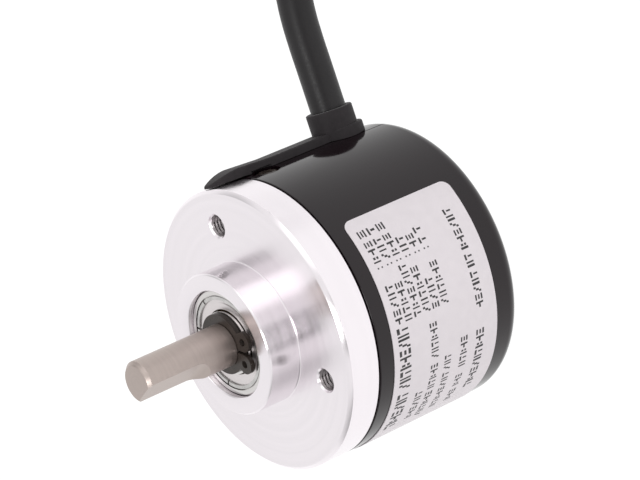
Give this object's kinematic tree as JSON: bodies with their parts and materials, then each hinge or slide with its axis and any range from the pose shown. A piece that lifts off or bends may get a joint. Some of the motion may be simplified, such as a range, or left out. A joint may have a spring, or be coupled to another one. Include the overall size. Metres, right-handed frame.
{
  "type": "rotary encoder",
  "caption": "Solid-shaft incremental rotary encoder with a D-cut shaft, pilot boss, tapped flange, black cup cover and a side cable coiled for storage.",
  "frame": {"origin": "centre of the flat rear wall of the cover, on the shaft axis", "axes": "+Z along the shaft axis towards the shaft's tip; -Y the way the cable leaves"},
  "size_m": [0.0667, 0.1356, 0.05],
  "materials": {
    "flange_aluminium": "fine turned, bright",
    "cover_plastic": "gloss black",
    "label_film": "satin silver grey",
    "shaft_steel": "ground, satin",
    "bearing_steel": "ground and polished",
    "black_steel": "black oxide",
    "black_rubber": "matte black",
    "cable_jacket": "matte black",
    "spring_steel": "bright",
    "brass": "machined",
    "clear_glass": "polished",
    "board_green": "solder mask, satin",
    "dark_moulding": "matte",
    "white_moulding": "matte",
    "cage_polymer": "matte tan",
    "wire_insulation": "matte, one colour per wire"
  },
  "bodies": {
    "housing": {"flange_body": "flange_aluminium", "spacer_sleeve": "flange_aluminium", "capacitor": "flange_aluminium", "cover": "cover_plastic", "blank_label": "label_film", "cover_screw_1": "black_steel", "cover_screw_2": "black_steel", "cover_gasket": "black_rubber", "cable_grommet": "black_rubber", "front_bearing_outer_ring": "bearing_steel", "rear_bearing_outer_ring": "bearing_steel", "front_shield": "bearing_steel", "board_screw_1": "bearing_steel", "board_screw_2": "bearing_steel", "board_screw_3": "bearing_steel", "shield_snap_ring": "spring_steel", "wave_washer": "spring_steel", "standoff_1": "brass", "standoff_2": "brass", "standoff_3": "brass", "reticle": "clear_glass", "led": "clear_glass", "circuit_board": "board_green", "led_holder": "dark_moulding", "photo_sensor": "dark_moulding", "signal_chip": "dark_moulding", "coil_tie": "dark_moulding", "cable_connector": "white_moulding", "cable_clamp": "white_moulding", "cable": "cable_jacket", "cable_coil": "cable_jacket", "lead_wires": "wire_insulation"},
    "rotor": {"shaft": "shaft_steel", "circlip": "black_steel", "disc_hub": "brass", "code_disc": "clear_glass", "disc_clamp_ring": "brass", "hub_set_screw": "black_steel", "front_bearing_inner_ring": "bearing_steel", "rear_bearing_inner_ring": "bearing_steel"},
    "front_balls": {"front_bearing_cage": "cage_polymer", "front_bearing_ball_1": "bearing_steel", "front_bearing_ball_2": "bearing_steel", "front_bearing_ball_3": "bearing_steel", "front_bearing_ball_4": "bearing_steel", "front_bearing_ball_5": "bearing_steel", "front_bearing_ball_6": "bearing_steel", "front_bearing_ball_7": "bearing_steel"},
    "rear_balls": {"rear_bearing_cage": "cage_polymer", "rear_bearing_ball_1": "bearing_steel", "rear_bearing_ball_2": "bearing_steel", "rear_bearing_ball_3": "bearing_steel", "rear_bearing_ball_4": "bearing_steel", "rear_bearing_ball_5": "bearing_steel", "rear_bearing_ball_6": "bearing_steel", "rear_bearing_ball_7": "bearing_steel"}
  },
  "joints": [
    {"name": "shaft_spin", "type": "hinge", "parent": "housing", "child": "rotor", "pos_m": [0, 0, 0.04], "axis": [0, 0, 1], "continuous": true},
    {"name": "front_balls_spin", "type": "hinge", "parent": "housing", "child": "front_balls", "pos_m": [0, 0, 0.03225], "axis": [0, 0, 1], "continuous": true},
    {"name": "rear_balls_spin", "type": "hinge", "parent": "housing", "child": "rear_balls", "pos_m": [0, 0, 0.0211], "axis": [0, 0, 1], "continuous": true}
  ],
  "couplings": [
    {"joint": "front_balls_spin", "follows": "shaft_spin", "ratio": 0.3925},
    {"joint": "rear_balls_spin", "follows": "shaft_spin", "ratio": 0.3925}
  ]
}
